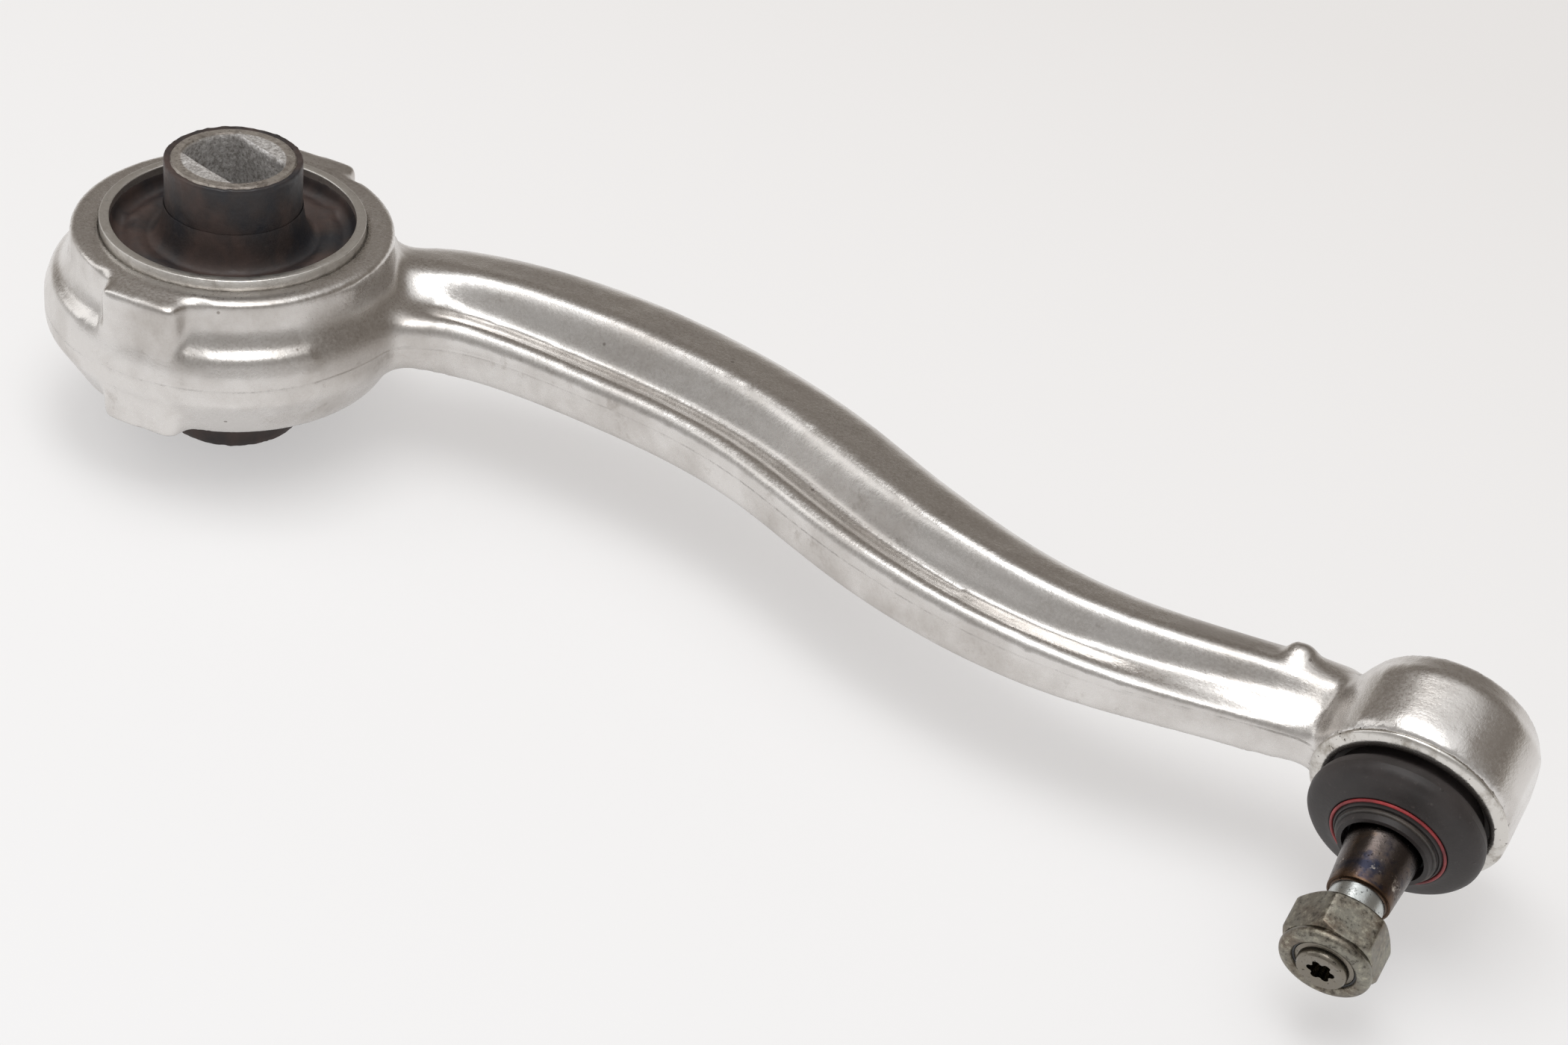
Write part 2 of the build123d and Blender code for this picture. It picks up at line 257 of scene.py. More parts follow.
def forgedAluminium():
    # Hot-forged aluminium, shot-blasted satin: fine bright grain, cloudy patches, brushed scratches near
    # the ball joint, and the thin flash line where the dies met.
    material, tree, shader, place = newMaterial("forgedAluminiumBlasted")
    clouds = noiseAt(tree, place, forging["cloudSize"], 4, 0.6)
    stains = noiseAt(tree, place, 9.0, 5, 0.7)
    color = mixColor(tree, mapped(tree, clouds, 0.42, 0.66, 0, 0.6), forging["metal"], forging["cloud"])
    color = mixColor(tree, mapped(tree, stains, 0.60, 0.78, 0, 0.55), color, forging["stain"])
    grain = noiseAt(tree, place, forging["grain"], 2, 0.65)
    color = mixColor(tree, 0.16, color, grain, "OVERLAY")
    rough = mapped(tree, clouds, 0.35, 0.65, *forging["roughness"])
    rough = combine(tree, "ADD", rough, mapped(tree, grain, 0.3, 0.7, -0.05, 0.07))
    # the flash line runs at the parting plane, a little lower round the eye
    x, z = axisOf(tree, place, "X"), axisOf(tree, place, "Z")
    level = mapped(tree, x, 0.035, 0.075, -0.0022, -0.0004)
    off = combine(tree, "ABSOLUTE", combine(tree, "SUBTRACT", z, level), 0)
    worn = noiseAt(tree, place, 5.0, 3, 0.6)
    onLine = mapped(tree, off, forging["flash"] * mm, 0.0)
    flash = combine(tree, "MULTIPLY", onLine, mapped(tree, worn, 0.3, 0.55, 0.3, 1))
    # brushed scratches, strongest from the last bend to the housing
    atBall = mapped(tree, x, 0.24, 0.31, 0.25, 1)
    scratch = noiseAt(tree, place, 0.9, 3, 0.75, (0.05, 1, 1), (0, 0, 24))
    crossed = noiseAt(tree, place, 0.8, 3, 0.75, (1, 0.06, 1), (0, 0, 52))
    marks = combine(tree, "MULTIPLY", combine(tree, "ADD", scratch, crossed), atBall)
    pits = specksAt(tree, place, 13.0, 0.045)
    normal = bumpFrom(tree, noiseAt(tree, place, 14.0, 2, 0.5), 0.35, 0.9)
    normal = bumpFrom(tree, flash, 0.5, 0.35, normal)
    normal = bumpFrom(tree, marks, 0.16, 0.18, normal)
    normal = bumpFrom(tree, pits, -0.5, 0.3, normal)
    normal = bumpFrom(tree, grain, 0.30, 0.14, normal)
    color = mixColor(tree, combine(tree, "MULTIPLY", pits, 0.6), color, "#6A6058")
    finishShader(tree, shader, color, rough, normal, 1.0)
    return material


def turnedAluminium():
    # Turned aluminium ring with a blasted face, dark specks and a little dirt.
    material, tree, shader, place = newMaterial("turnedAluminiumRing")
    grain = noiseAt(tree, place, 0.7, 3, 0.7)
    dirt = noiseAt(tree, place, 4.0, 5, 0.7)
    color = mixColor(tree, mapped(tree, dirt, 0.5, 0.75, 0, 0.7), "#D8D5D0", "#99938B")
    color = mixColor(tree, mapped(tree, grain, 0.62, 0.75, 0, 0.5), color, "#6E6861")
    rough = mapped(tree, dirt, 0.3, 0.7, 0.26, 0.44)
    normal = bumpFrom(tree, grain, 0.55, 0.16)
    finishShader(tree, shader, color, rough, normal, 1.0)
    return material


def wornRubber():
    # Vulcanised natural rubber: brown bloom over blue-black, satin, with fine pores.
    material, tree, shader, place = newMaterial("vulcanisedRubberWorn")
    bloom = noiseAt(tree, place, 16.0, 4, 0.55, (1, 1, 0.7))
    fine = noiseAt(tree, place, 2.2, 5, 0.7)
    color = ramp(
        tree,
        bloom,
        [
            (0.36, hexToLinear("#25262B")),
            (0.47, hexToLinear("#342D2C")),
            (0.60, hexToLinear("#4A3B36")),
            (0.74, hexToLinear("#372F2D")),
        ],
    )
    color = mixColor(tree, mapped(tree, fine, 0.55, 0.75, 0, 0.3), color, "#4E443F")
    rough = mapped(tree, combine(tree, "ADD", bloom, fine), 0.8, 1.2, 0.38, 0.58)
    normal = bumpFrom(tree, bloom, 0.4, 1.2)
    normal = bumpFrom(tree, fine, 0.3, 0.3, normal)
    normal = bumpFrom(tree, specksAt(tree, place, 7.0, 0.07), -0.5, 0.4, normal)
    finishShader(tree, shader, color, rough, normal)
    return material


def sleeveMetal():
    # Cast and faced metal: faint turning rings and grey-brown wear on the ends; in the hole, coarse grain
    # over pale painted light that lightens the shade inside the hole.
    material, tree, shader, place = newMaterial("facedSleeveMetal")
    settings = {"wave_type": "RINGS", "rings_direction": "Z"}
    settings |= {"Scale": 160, "Distortion": 2.0, "Detail": 2.0}
    rings = addNode(tree, "ShaderNodeTexWave", settings, {"Vector": place}).outputs["Fac"]
    wear = noiseAt(tree, place, 5.0, 5, 0.7)
    grain = noiseAt(tree, place, 1.1, 3, 0.75)
    color = mixColor(tree, mapped(tree, wear, 0.42, 0.66), "#B4ADA5", "#7D756E")
    color = mixColor(tree, mapped(tree, grain, 0.60, 0.72, 0, 0.8), color, "#D5D2CE")
    color = mixColor(tree, mapped(tree, grain, 0.42, 0.34, 0, 0.7), color, "#5A5550")
    settings = {"operation": "MULTIPLY", 1: (1, 1, 0)}
    flat = addNode(tree, "ShaderNodeVectorMath", settings, {0: place}).outputs[0]
    radius = addNode(tree, "ShaderNodeVectorMath", {"operation": "LENGTH"}, {0: flat}).outputs["Value"]
    # painted light: inside the hole the wall is recoloured pale grey to near-white grain, standing in for
    # light that the hole's shade keeps out
    holeGrainPaintedLight = mixColor(tree, mapped(tree, grain, 0.35, 0.65), "#A9A5A2", "#FBFAF9")
    color = mixColor(tree, mapped(tree, radius, 0.0139, 0.0135), color, holeGrainPaintedLight)
    rough = mapped(tree, wear, 0.3, 0.7, 0.36, 0.58)
    normal = bumpFrom(tree, rings, 0.10, 0.1)
    normal = bumpFrom(tree, grain, 0.8, 0.3, normal)
    finishShader(tree, shader, color, rough, normal, 0.85)
    return material


def rolledSteel():
    # Bright rolled ring with dirt specks and brown staining in places.
    material, tree, shader, place = newMaterial("rolledRingDirty")
    stain = noiseAt(tree, place, 6.0, 5, 0.7)
    dots = noiseAt(tree, place, 1.3, 3, 0.7)
    specks = mapped(tree, dots, 0.64, 0.70)
    color = mixColor(tree, mapped(tree, stain, 0.50, 0.70, 0, 0.8), "#D8D5D0", "#8D8477")
    color = mixColor(tree, specks, color, "#453C34")
    dirty = combine(tree, "MULTIPLY", specks, 0.3)
    rough = combine(tree, "ADD", mapped(tree, stain, 0.4, 0.7, 0.17, 0.34), dirty)
    normal = bumpFrom(tree, noiseAt(tree, place, 3.0, 3, 0.6), 0.3, 0.4)
    normal = bumpFrom(tree, specks, -0.5, 0.2, normal)
    finishShader(tree, shader, color, rough, normal, 1.0)
    return material


def bootSkin():
    # Moulded chloroprene boot: matt brown-black with grey scuffs and a few dust spots.
    material, tree, shader, place = newMaterial("mouldedBootRubber")
    scuffs = noiseAt(tree, place, 13.0, 5, 0.65)
    fine = noiseAt(tree, place, 1.6, 4, 0.7)
    color = mixColor(tree, mapped(tree, scuffs, 0.38, 0.68), "#272221", "#393332")
    color = mixColor(tree, mapped(tree, fine, 0.62, 0.78, 0, 0.5), color, "#635C58")
    rough = mapped(tree, scuffs, 0.3, 0.7, 0.44, 0.6)
    normal = bumpFrom(tree, scuffs, 0.2, 0.7)
    normal = bumpFrom(tree, fine, 0.3, 0.2, normal)
    normal = bumpFrom(tree, specksAt(tree, place, 9.0, 0.06), 0.5, 0.3, normal)
    finishShader(tree, shader, color, rough, normal)
    return material


studZones = (  # millimetres along the stud from the ball centre
    (20.0, "#332F2D"),
    (30.0, "#514A47"),
    (38.5, "#4E4541"),
    (40.6, "#5D4A3C"),
    (41.7, "#4C3A2D"),
    (42.1, "#B9BDBC"),
    (46.8, "#C6C9C7"),
    (47.4, "#77736B"),
    (63.3, "#827C72"),
)


def studMetal():
    # Heat-tinted taper with bright pitted spots and a brown rim, then a bright plated neck and a dull thread.
    material, tree, shader, place = newMaterial("heatTintedStudSteel")
    reach = alongStud(tree, place)
    low, high = studZones[0][0], studZones[-1][0]
    share = mapped(tree, reach, low * mm, high * mm)
    stops = [((at - low) / (high - low), hexToLinear(color)) for at, color in studZones]
    zone = ramp(tree, share, stops)
    onCone = mapped(tree, reach, 0.0412, 0.0408)
    tintNoise = noiseAt(tree, place, 9.0, 4, 0.6)
    blued = combine(tree, "MULTIPLY", mapped(tree, tintNoise, 0.50, 0.62), onCone)
    color = mixColor(tree, blued, zone, "#2B2C37")
    brown = noiseAt(tree, place, 6.0, 4, 0.65)
    browned = combine(tree, "MULTIPLY", mapped(tree, brown, 0.55, 0.68, 0, 0.8), onCone)
    color = mixColor(tree, browned, color, "#65564B")
    spots = noiseAt(tree, place, 5.0, 5, 0.75)
    bare = combine(tree, "MULTIPLY", mapped(tree, spots, 0.60, 0.70), onCone)
    color = mixColor(tree, bare, color, "#B9B1A7")
    pits = noiseAt(tree, place, 0.9, 2, 0.6)
    holes = mapped(tree, pits, 0.64, 0.70)
    color = mixColor(tree, combine(tree, "MULTIPLY", holes, 0.7), color, "#1E1B1A")
    dull = combine(tree, "MULTIPLY", holes, 0.3)
    rough = combine(tree, "ADD", mapped(tree, tintNoise, 0.35, 0.65, 0.18, 0.34), dull)
    normal = bumpFrom(tree, spots, 0.35, 0.3)
    normal = bumpFrom(tree, holes, -0.6, 0.2, normal)
    finishShader(tree, shader, color, rough, normal, 1.0)
    return material


def platedNut():
    # Zinc plating gone dull: olive grey with brown tint, mottled on the flats.
    material, tree, shader, place = newMaterial("zincPlatedDull")
    mottle = noiseAt(tree, place, 1.5, 4, 0.7)
    tint = noiseAt(tree, place, 9.0, 3, 0.6)
    color = mixColor(tree, mapped(tree, tint, 0.42, 0.62), "#88857B", "#73695D")
    color = mixColor(tree, mapped(tree, mottle, 0.52, 0.70, 0, 0.85), color, "#B3AF9F")
    color = mixColor(tree, mapped(tree, mottle, 0.46, 0.36, 0, 0.8), color, "#4A463F")
    rough = mapped(tree, mottle, 0.35, 0.65, 0.30, 0.50)
    normal = bumpFrom(tree, mottle, 0.4, 0.18)
    finishShader(tree, shader, color, rough, normal, 1.0)
    return material


def simpleFinish(name, color, shade, metallic, roughness, grain, bump, patch=8.0):
    material, tree, shader, place = newMaterial(name)
    patches = noiseAt(tree, place, patch, 5, 0.65)
    tint = mixColor(tree, mapped(tree, patches, 0.35, 0.65), color, shade)
    rough = mapped(tree, patches, 0.3, 0.7, *roughness)
    normal = bumpFrom(tree, noiseAt(tree, place, grain, 3, 0.6), bump, 0.15)
    finishShader(tree, shader, tint, rough, normal, metallic)
    return material


forged = forgedAluminium()
turnedRing = turnedAluminium()
rubberBush = wornRubber()
sleeveFace = sleeveMetal()
rolledRing = rolledSteel()
bootRubber = bootSkin()
studSteel = studMetal()
zincNut = platedNut()
redRubber = simpleFinish("redElastomer", "#B03A3C", "#6E2A2E", 0.0, (0.35, 0.55), 0.8, 0.2)
darkWire = simpleFinish("darkSpringWire", "#57504A", "#2C2A29", 0.0, (0.35, 0.5), 0.8, 0.2)
blackPolyamide = simpleFinish("mouldedPolyamide", "#26262A", "#1C1C1F", 0.0, (0.4, 0.5), 1.0, 0.2)
whiteAcetal = simpleFinish("mouldedAcetal", "#E6E2D8", "#D6D0C2", 0.0, (0.3, 0.4), 1.0, 0.1)
cageSteel = simpleFinish("pressedSteel", "#8F8D89", "#6F6C68", 1.0, (0.35, 0.5), 1.0, 0.3)
print("materials made")

# The arm forging
armShape = {
    "voxel": 0.97,  # mm
    "smoothing": 4,
    "padTurn": -84.0,  # degrees
    "padSmoothing": 10,
    "eyeBlend": ((50, 13, 14), (50, 9, 20), (49, 6, 24)),  # mm from the axis, reach, rounds
    "ballBlend": ((318, 14, 10), (318, 9, 16), (318, 6, 12)),  # mm along the arm, reach, rounds
    "boreRadius": 35.5,
    "bossHeight": 20.2,
    "housingBore": 22.5,
    "housingMouth": 11.6,
}


def applyModifiers(piece):
    depsgraph = bpy.context.evaluated_depsgraph_get()
    mesh = bpy.data.meshes.new_from_object(piece.evaluated_get(depsgraph))
    old = piece.data
    piece.modifiers.clear()
    piece.data = mesh
    bpy.data.meshes.remove(old)


def smoothVerts(bm, verts, times):
    for _ in range(times):
        bmesh.ops.smooth_vert(bm, verts=verts, factor=0.5, use_axis_x=True, use_axis_y=True, use_axis_z=True)


def blendJunctions(bm, skin):
    # smooths hardest where the shank meets the eye and the housing, and less further out
    for radius, reach, times in armShape["eyeBlend"]:
        near = [
            v
            for v in skin
            if v.co.x > 24 * mm and v.co.y > -22 * mm and -15 * mm < v.co.z < 16 * mm
            and abs(math.hypot(v.co.x, v.co.y) - radius * mm) < reach * mm
        ]
        smoothVerts(bm, near, times)
    for at, reach, times in armShape["ballBlend"]:
        smoothVerts(bm, [v for v in skin if abs(v.co.x - at * mm) < reach * mm], times)
    pads = []
    for v in skin:
        turned = math.remainder(math.atan2(v.co.y, v.co.x) - math.radians(armShape["padTurn"]), math.pi)
        if abs(turned) < 0.4 and 41 * mm < math.hypot(v.co.x, v.co.y) < 60 * mm:
            pads.append(v)
    smoothVerts(bm, pads, armShape["padSmoothing"])


def makeArm():
    bm = bmesh.new()
    bm.from_mesh(frame["nodes"]["arm_body"].data)
    bmesh.ops.remove_doubles(bm, verts=bm.verts, dist=1e-6)
    mesh = bpy.data.meshes.new("armForging")
    bm.to_mesh(mesh)
    bm.free()
    piece = linkObject("armForging", mesh)
    remesh = piece.modifiers.new("voxels", "REMESH")
    remesh.mode = "VOXEL"
    remesh.voxel_size = armShape["voxel"] * mm
    applyModifiers(piece)
    bm = bmesh.new()
    bm.from_mesh(piece.data)
    toStud = studFrame().inverted()
    fromStud = studFrame()
    bore, top, housingBore = (armShape[key] * mm for key in ("boreRadius", "bossHeight", "housingBore"))
    mouth = armShape["housingMouth"] * mm

    def onBushBore(point):
        return abs(math.hypot(point.x, point.y) - bore) < 0.9 * mm

    def onJointBore(point):
        local = toStud @ point
        return math.hypot(local.x, local.y) < housingBore + 0.5 * mm and -16 * mm < local.z < 13 * mm

    skin = [v for v in bm.verts if not onBushBore(v.co) and not onJointBore(v.co)]
    smoothVerts(bm, skin, armShape["smoothing"])
    blendJunctions(bm, skin)
    # bring both bores back to true round, with a small chamfer at their mouths
    for vert in bm.verts:
        if onBushBore(vert.co):
            radius = math.hypot(vert.co.x, vert.co.y)
            wanted = bore + max(0, abs(vert.co.z) - top + 0.7 * mm)
            vert.co.x *= wanted / radius
            vert.co.y *= wanted / radius
        local = toStud @ vert.co
        radius = math.hypot(local.x, local.y)
        if abs(radius - housingBore) < 0.6 * mm and local.z > 7.5 * mm:
            share = housingBore / radius
            vert.co = fromStud @ Vector((local.x * share, local.y * share, min(local.z, mouth)))
        elif radius < housingBore + 1.9 * mm and local.z > mouth - 1.0 * mm:
            # the flat lip round the mouth, rounded at its outer edge
            drop = max(0, radius - housingBore - 1.0 * mm)
            vert.co = fromStud @ Vector((local.x, local.y, mouth - drop**2 / (1.6 * mm)))
    for face in bm.faces:
        face.smooth = True
    bm.to_mesh(piece.data)
    print("arm triangles", sum(len(face.verts) - 2 for face in bm.faces))
    bm.free()
    return piece


showPiece(makeArm(), forged, "arm", "forged_aluminium", "arm_body")
print("arm made")

# The bush
outerSleeve = {"inner": 32.5, "outer": 35.5, "halfLength": 22.6, "edge": 0.35, "neck": 35.2, "neckFrom": 18.6}


def makeOuterSleeve():
    s = outerSleeve
    half = s["halfLength"]
    top = [(s["outer"], s["neckFrom"]), (s["neck"], s["neckFrom"] + 0.4)]
    top += [(s["neck"], half), (s["inner"], half)]
    bottom = [(r, -h) for r, h in reversed(top)]
    bm = spinProfile(top + bottom, 160, s["edge"], 3)
    reshape(bm, lambda r, a, h: (r, h + (0.12 * wobble(a, r, 9) if h > 21 else 0)))
    return finishMesh("outerSleeve", bm, Matrix.Identity(4))


bushRubber = {
    "surface": (
        (32.45, 20.3),
        (32.2, 19.7),
        (31.7, 18.2),
        (30.8, 17.0),
        (29.4, 16.5),
        (27.6, 17.2),
        (25.8, 17.7),
        (24.0, 17.2),
        (22.4, 16.6),
        (20.9, 17.4),
        (19.7, 19.4),
        (18.9, 22.6),
        (18.4, 26.6),
    ),
    "ragged": 0.45,  # mm, at the edge by the ring
    "dents": ((-158, 28.8), (-24, 28.0), (63, 29.0)),  # degrees round the axis, and the radius
    "dentDepth": 0.9,
    "dentSize": 2.6,
}


def makeBushRubber():
    s = bushRubber
    top = roundedOutline(s["surface"], 3)
    bm = spinProfile(top + [(r, -h) for r, h in reversed(top)], 160)

    def worn(r, a, h):
        lift = 0.25 * wobble(a, r, 8) + 0.1 * wobble(a, r, 2.5)
        if r > 31.9:
            lift = s["ragged"] * wobble(a, r, 2.2) + 0.3 * wobble(a, r, 9)
        for turn, at in s["dents"]:
            spread = math.hypot(r - at, at * math.remainder(a - math.radians(turn), math.tau))
            lift -= s["dentDepth"] * math.exp(-((spread / s["dentSize"]) ** 2))
        return r, h + math.copysign(lift, h)

    return finishMesh("bushRubber", reshape(bm, worn), Matrix.Identity(4), 60)


sleeveCoat = {"inner": 16.65, "outer": 18.25, "halfLength": 39.15, "rag": 0.4}


def makeSleeveCoat():
    s = sleeveCoat
    half = s["halfLength"]
    side = [half - 1.2 * i for i in range(16)]
    outer = [(s["outer"], h) for h in side] + [(s["outer"], -h) for h in reversed(side)]
    rim = s["outer"] - 0.35
    outline = [(rim, half + 0.3), *outer, (rim, -half - 0.3), (s["inner"], -half), (s["inner"], half)]
    bm = spinProfile(outline, 144)

    def torn(r, a, h):
        swell = 0.10 * wobble(a, 18, 5, h / 5) if r > 17 else 0
        lift = s["rag"] * wobble(a, 18, 2.0, 3) if abs(h) > half - 0.6 else 0
        return r + swell - 0.05, h + math.copysign(lift - 0.1, h) if abs(h) > half - 0.6 else h

    return finishMesh("sleeveCoat", reshape(bm, torn), Matrix.Identity(4), 55)


innerSleeve = {
    "outer": 16.6,
    "halfLength": 39.7,
    "roundRadius": 13.5,
    "flatGap": 17.4,
    "turn": -14.0,  # degrees, how far the slot is turned from the arm's length
    "edge": 0.5,
}


def makeInnerSleeve():
    s = innerSleeve
    half, edge, hole = s["halfLength"], s["edge"], s["roundRadius"]
    top = [(hole, half - 1.3), (hole + 0.15, half - 0.5), (hole + 0.6, half)]
    top += [(s["outer"] - edge, half), (s["outer"], half - edge)]
    bm = spinProfile(top + [(r, -h) for r, h in reversed(top)], 192)

    def slotted(r, a, h):
        across = abs(math.sin(a - math.radians(s["turn"])))
        flat = s["flatGap"] / 2 / max(across, 0.05)
        opening = r - s["roundRadius"]
        if opening < 1.0:
            r = min(s["roundRadius"], flat) + opening
        lift = 0.09 * wobble(a, r, 3) if abs(h) > half - 0.1 else 0
        return r, h - abs(lift) * math.copysign(1, h)

    return finishMesh("innerSleeve", reshape(bm, slotted), Matrix.Identity(4))


showPiece(makeOuterSleeve(), turnedRing, "arm", "turned_aluminium", "bush_outer_sleeve")
showPiece(makeBushRubber(), rubberBush, "arm", "bush_rubber", "bush_rubber")
showPiece(makeSleeveCoat(), rubberBush, "bush_core", "bush_rubber", "sleeve_coat")
showPiece(makeInnerSleeve(), sleeveFace, "bush_core", "sleeve_metal", "bush_inner_sleeve")
print("bush made")

# The ball joint, in (radius, distance along the stud) from the ball centre
closingRing = {
    "seat": 6.9,
    "outer": 22.42,
    "bore": 15.8,
    "lip": 19.6,
    "roll": (
        (22.42, 11.55),
        (23.6, 11.65),
        (24.0, 12.0),
        (23.8, 12.7),
        (22.9, 13.4),
        (21.7, 13.85),
        (20.6, 13.8),
        (19.9, 13.2),
        (19.6, 12.0),
    ),
}


def makeClosingRing():
    s = closingRing
    roll = roundedOutline(s["roll"], 4)
    outline = [(s["bore"], s["seat"]), (s["outer"], s["seat"]), *roll, (s["lip"], 9.2), (s["bore"], 9.2)]
    bm = spinProfile(outline, 144)
    reshape(bm, lambda r, a, h: (r + (0.10 * wobble(a, r, 6, h / 6) if h > 12 else 0), h))
    return finishMesh("closingRing", bm, studFrame())


dustBoot = {
    "foot": ((17.95, 9.4), (17.9, 11.4), (18.0, 13.2), (18.9, 14.9), (20.6, 16.4), (21.3, 18.9)),
    "footInside": ((19.5, 18.9), (18.8, 17.0), (17.4, 15.2), (16.7, 12.6), (16.6, 9.4)),
    "front": ((21.3, 18.9), (21.0, 20.6), (19.8, 22.1), (17.8, 22.9), (15.6, 23.5), (14.3, 24.0)),
    "folds": (
        (14.1, 23.8),
        (13.6, 23.6),
        (13.1, 24.3),
        (12.7, 24.9),
        (12.3, 24.7),
        (11.8, 25.0),
        (11.4, 26.4),
        (11.1, 27.4),
    ),
    "frontInside": ((9.95, 27.4), (9.9, 23.0), (13.2, 21.9), (17.0, 21.1), (18.9, 20.2), (19.5, 18.9)),
}


def makeBootHalf(name, *outlines):
    outline = [point for part in outlines for point in roundedOutline(part, 3)]
    bm = spinProfile(outline, 144)
    reshape(bm, lambda r, a, h: (r + 0.10 * wobble(a, r, 9, h / 9), h))
    return finishMesh(name, bm, studFrame(), 70)


ballStud = {
    "ball": 12.0,
    "back": -11.2,
    "neck": 7.6,
    "taperStart": (9.06, 24.0),
    "taperEnd": (7.64, 41.1),
    "shank": 6.55,
    "thread": (47.2, 60.8),
    "point": 6.05,  # the plain end in front of the thread
    "threadRadius": 6.98,
    "pitch": 1.5,
    "threadDepth": 0.65,
    "end": 63.3,
    "recess": (2.45, 2.35, 0.95),  # core radius, lobe centre and lobe radius
    "recessDepth": 5.0,
}


def lobeRadius(angle):
    core, centre, lobe = ballStud["recess"]
    turned = math.remainder(angle, math.tau / 6)
    under = lobe**2 - (centre * math.sin(turned)) ** 2
    return max(core, centre * math.cos(turned) + math.sqrt(under)) if under > 0 else core


def makeBallStud():
    s = ballStud
    start, end = s["thread"]
    first = math.asin(s["back"] / s["ball"])
    last = math.acos(s["neck"] / s["ball"])
    bends = [first + (last - first) * i / 24 for i in range(25)]
    outline = [(0, s["back"])] + [(s["ball"] * math.cos(a), s["ball"] * math.sin(a)) for a in bends]
    wide, narrow = Vector(s["taperStart"]), Vector(s["taperEnd"])
    outline += [(s["neck"], 12.0), (wide.x, 15.5)] + [tuple(wide.lerp(narrow, i / 8)) for i in range(9)]
    outline += [(7.56, 41.45), (7.2, 41.6), (6.85, 41.5), (s["shank"], 41.75), (s["shank"], start - 0.5)]
    rows = int((end - start) / 0.25)
    outline += [(s["threadRadius"], start + (end - start) * i / rows) for i in range(rows + 1)]
    outline += [(s["point"], 61.1), (s["point"], 62.3), (5.8, 63.0), (5.5, s["end"]), (3.75, s["end"])]
    bottom = s["end"] - s["recessDepth"]
    outline += [(3.3, s["end"] - 0.3), (3.3, s["end"] - 2.5), (3.3, bottom), (0, bottom - 0.6)]
    bm = spinProfile(outline, 120)

    def cut(r, a, h):
        if start < h < end and r > 5:
            turn = (h / s["pitch"] - a / math.tau) % 1
            fade = min(1, (h - start) / 1.5)
            r -= fade * s["threadDepth"] * (1 - abs(2 * turn - 1)) ** 0.7
        if 0.5 < r < 3.5 and h > s["end"] - s["recessDepth"] - 0.1:
            r = lobeRadius(a)
        return r, h

    return finishMesh("ballStud", reshape(bm, cut), studFrame(), 32)


lockNut = {
    "start": 48.6,
    "hexEnd": 58.8,
    "end": 61.8,
    "acrossFlats": 21.0,
    "turn": 43.6,  # degrees, a corner's place round the stud
    "corner": 11.9,  # the rounded corners' radius from the axis
    "bore": 7.05,
    "groove": 8.7,
    "edge": 0.18,  # how softly the flats meet the chamfers
    "collar": (
        (10.45, 58.8),
        (10.6, 59.2),
        (10.9, 59.8),
        (10.9, 60.5),
        (10.5, 61.3),
        (9.6, 61.75),
        (8.5, 61.8),
        (7.8, 61.5),
        (7.55, 61.0),
    ),
}


def makeLockNut():
    s = lockNut
    rows = 44
    length = s["hexEnd"] - s["start"]
    outer = [(13.0, s["start"] + length * i / rows) for i in range(rows + 1)]
    collar = roundedOutline(s["collar"], 3)
    inner = [(s["groove"], 61.0), (s["groove"], 58.7), (s["bore"], 58.7), (s["bore"], s["start"] + 1.0)]
    inner += [(7.7, s["start"] + 0.3), (7.9, s["start"])]
    bm = spinProfile([(9.8, s["start"]), *outer, *collar, *inner], 240)

    def hexed(r, a, h):
        if r < 12.5:
            return r, h
        turned = math.remainder(a - math.radians(s["turn"] + 30), math.tau / 6)
        flat = s["acrossFlats"] / 2 / math.cos(turned)
        chamfer = min(10.4 + (h - s["start"]) * 1.6, 10.7 + (s["hexEnd"] - h) * 1.25)
        blend = s["edge"]
        soft = -blend * math.log(sum(math.exp(-limit / blend) for limit in (flat, chamfer, s["corner"])))
        return soft, h

    return finishMesh("lockNut", reshape(bm, hexed), studFrame(), 30)


def makeBand(name, inner, outer, low, high, edge):
    corners = [(inner, low), (outer, low), (outer, high), (inner, high)]
    return finishMesh(name, spinProfile(corners, 120, edge), studFrame())


def makeRoundRing(name, centre, thickness):
    turns = [math.tau * i / 12 for i in range(12)]
    outline = [(centre[0] + thickness * math.cos(t), centre[1] + thickness * math.sin(t)) for t in turns]
    return finishMesh(name, spinProfile(outline, 144), studFrame(), 90)


showPiece(makeClosingRing(), rolledRing, "arm", "rolled_ring", "closing_ring")
bootFoot = makeBootHalf("bootFoot", dustBoot["foot"], dustBoot["footInside"])
bootFront = makeBootHalf("bootFront", dustBoot["front"], dustBoot["folds"], dustBoot["frontInside"])
for half, material in ((bootFoot, bootRubber), (bootFront, bootRubber)):
    showPiece(half, material, None, "boot_rubber", "dust_boot")


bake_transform(bootFoot)
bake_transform(bootFront)
showPiece(makeBallStud(), studSteel, "stud", "stud_steel", "ball_stud")
showPiece(makeLockNut(), zincNut, "nut", "zinc_plated_steel", "lock_nut")
nutInsert = makeBand("nutInsert", 7.05, 8.6, 58.8, 60.9, 0.3)
showPiece(nutInsert, blackPolyamide, "nut_travel", "black_polyamide", "nut_insert")
bootLipRing = makeBand("bootLipRing", 11.15, 12.15, 24.95, 25.95, 0.25)
showPiece(bootLipRing, darkWire, "boot_lip", "spring_wire", "boot_small_clip")
redRing = makeRoundRing("redRing", (13.65, 24.15), 0.4)
showPiece(redRing, redRubber, "boot_lip", "red_elastomer", "red_ring")
print("ball joint made")

